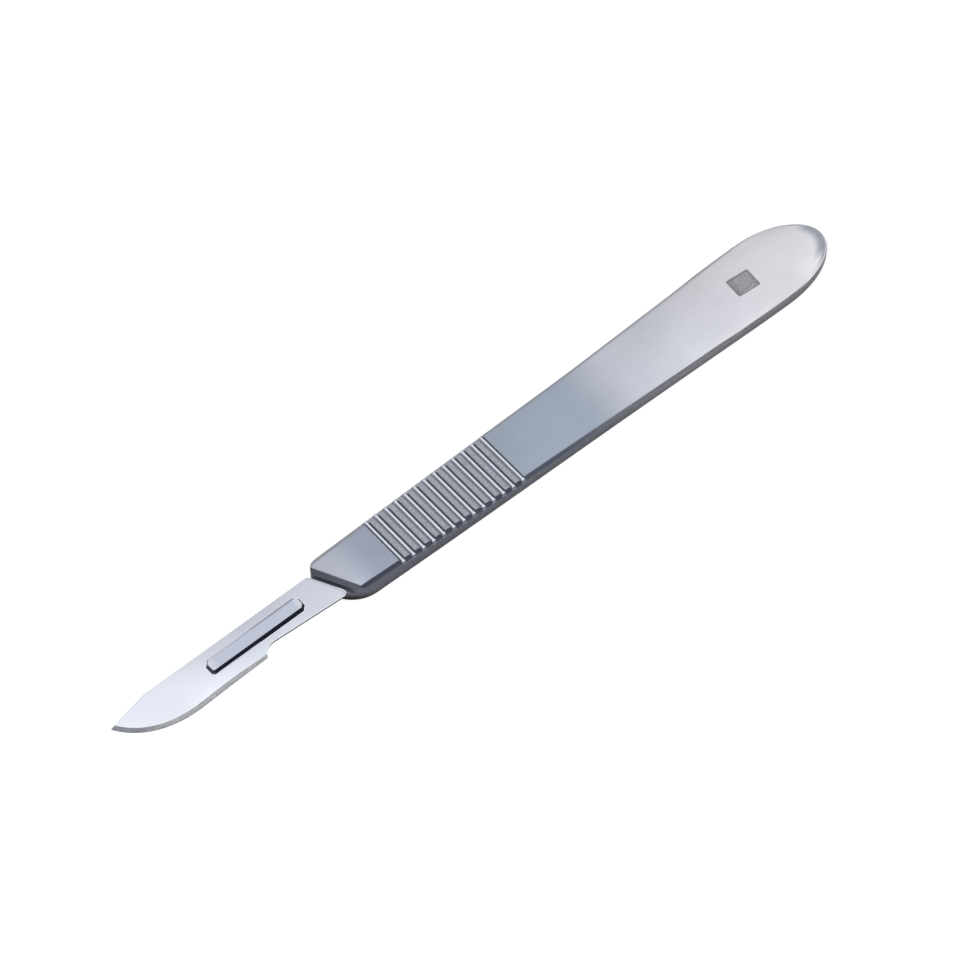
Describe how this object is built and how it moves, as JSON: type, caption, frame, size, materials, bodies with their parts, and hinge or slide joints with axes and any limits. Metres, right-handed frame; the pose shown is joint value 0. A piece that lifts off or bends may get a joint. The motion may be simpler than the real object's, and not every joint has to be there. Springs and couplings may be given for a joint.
{
  "type": "scalpel handle",
  "caption": "Flat tapering surgical knife handle with a ribbed grip, rounded tail and a clipped-on, removable curved blade.",
  "frame": {"origin": "centre of the bounding box in plan, at the underside that the handle lies on", "axes": "+X from the blade's tip to the handle's tail, +Y to the blade's blunt spine, +Z out of the ribbed front face"},
  "size_m": [0.1382, 0.0126, 0.0036],
  "materials": {
    "handle_steel": "satin ground stainless steel, finely grained between the ribs and on the side walls",
    "blade_steel": "bright rolled strip, with a matte ground band along the cutting edge"
  },
  "bodies": {
    "root": {"handle": "handle_steel", "blade": "blade_steel"}
  },
  "joints": []
}
